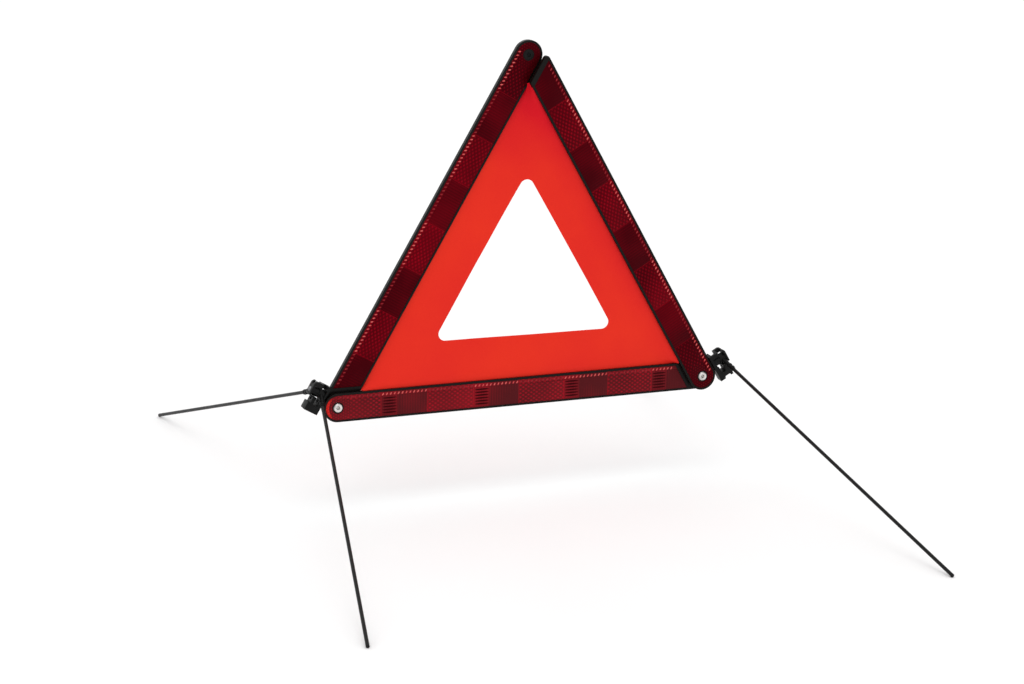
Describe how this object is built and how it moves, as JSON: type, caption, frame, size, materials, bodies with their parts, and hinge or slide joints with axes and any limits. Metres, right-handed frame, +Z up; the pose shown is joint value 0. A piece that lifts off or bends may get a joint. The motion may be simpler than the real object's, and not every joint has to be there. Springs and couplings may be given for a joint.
{
  "type": "warning triangle",
  "caption": "Folding roadside warning triangle: hinged red reflector arms, a fluorescent sheet with a triangular opening, and swing-out wire legs.",
  "frame": {"origin": "on the floor, under the centre of the triangle and midway between the feet", "axes": "+Z up; the triangle stands in the XZ plane and its front faces -Y; +X is to the right as seen from the front"},
  "size_m": [0.6548, 0.8232, 0.5195],
  "materials": {
    "carrier_plastic": "fine moulded black, slightly glossy edges",
    "bracket_plastic": "moulded black nylon",
    "red_reflector": "clear dark red acrylic with moulded prisms",
    "fluorescent_fabric": "coated fluorescent red cloth",
    "zinc_steel": "bright zinc plate",
    "dark_steel": "dark plated steel",
    "black_coated_wire": "satin black coating",
    "nylon": "plain dark nylon"
  },
  "bodies": {
    "frame": {"bottom_arm_carrier": "carrier_plastic", "bottom_arm_lens": "red_reflector", "left_corner_rivet": "zinc_steel", "left_corner_washer": "zinc_steel", "right_corner_rivet": "zinc_steel", "right_corner_washer": "zinc_steel", "left_pivot_spacer": "nylon", "right_pivot_spacer": "nylon", "fluorescent_sheet": "fluorescent_fabric", "sheet_pins": "nylon"},
    "left_arm": {"left_arm_carrier": "carrier_plastic", "left_arm_lens": "red_reflector", "latch_stud": "bracket_plastic", "latch_ring": "dark_steel", "left_leg_bracket": "bracket_plastic", "left_bracket_screws": "dark_steel", "left_leg_pin": "dark_steel", "left_hub_washer": "nylon"},
    "right_arm": {"right_arm_carrier": "carrier_plastic", "right_arm_lens": "red_reflector", "right_leg_bracket": "bracket_plastic", "right_bracket_screws": "dark_steel", "right_leg_pin": "dark_steel", "right_hub_washer": "nylon"},
    "front_right_leg": {"front_right_leg_hub": "bracket_plastic", "front_right_leg_wire": "black_coated_wire"},
    "rear_right_leg": {"rear_right_leg_hub": "bracket_plastic", "rear_right_leg_wire": "black_coated_wire"},
    "front_left_leg": {"front_left_leg_hub": "bracket_plastic", "front_left_leg_wire": "black_coated_wire"},
    "rear_left_leg": {"rear_left_leg_hub": "bracket_plastic", "rear_left_leg_wire": "black_coated_wire"}
  },
  "joints": [
    {"name": "left_fold", "type": "hinge", "parent": "frame", "child": "left_arm", "pos_m": [-0.22142, 0, 0.1195], "axis": [0, 1, 0], "range_deg": [0, 60], "deforming": ["fluorescent_sheet"]},
    {"name": "right_fold", "type": "hinge", "parent": "frame", "child": "right_arm", "pos_m": [0.22142, 0, 0.1195], "axis": [0, -1, 0], "range_deg": [0, 60]},
    {"name": "front_right_leg_swing", "type": "hinge", "parent": "right_arm", "child": "front_right_leg", "pos_m": [0.24603, -0.0063, 0.13948], "axis": [-0.866, 0, -0.5], "range_deg": [0, 111.46]},
    {"name": "rear_right_leg_swing", "type": "hinge", "parent": "right_arm", "child": "rear_right_leg", "pos_m": [0.23927, -0.0063, 0.13558], "axis": [0.866, 0, 0.5], "range_deg": [0, 110.82]},
    {"name": "front_left_leg_swing", "type": "hinge", "parent": "left_arm", "child": "front_left_leg", "pos_m": [-0.23927, 0.0063, 0.13558], "axis": [-0.866, 0, 0.5], "range_deg": [0, 110.82]},
    {"name": "rear_left_leg_swing", "type": "hinge", "parent": "left_arm", "child": "rear_left_leg", "pos_m": [-0.24603, 0.0063, 0.13948], "axis": [0.866, 0, -0.5], "range_deg": [0, 111.46]}
  ]
}
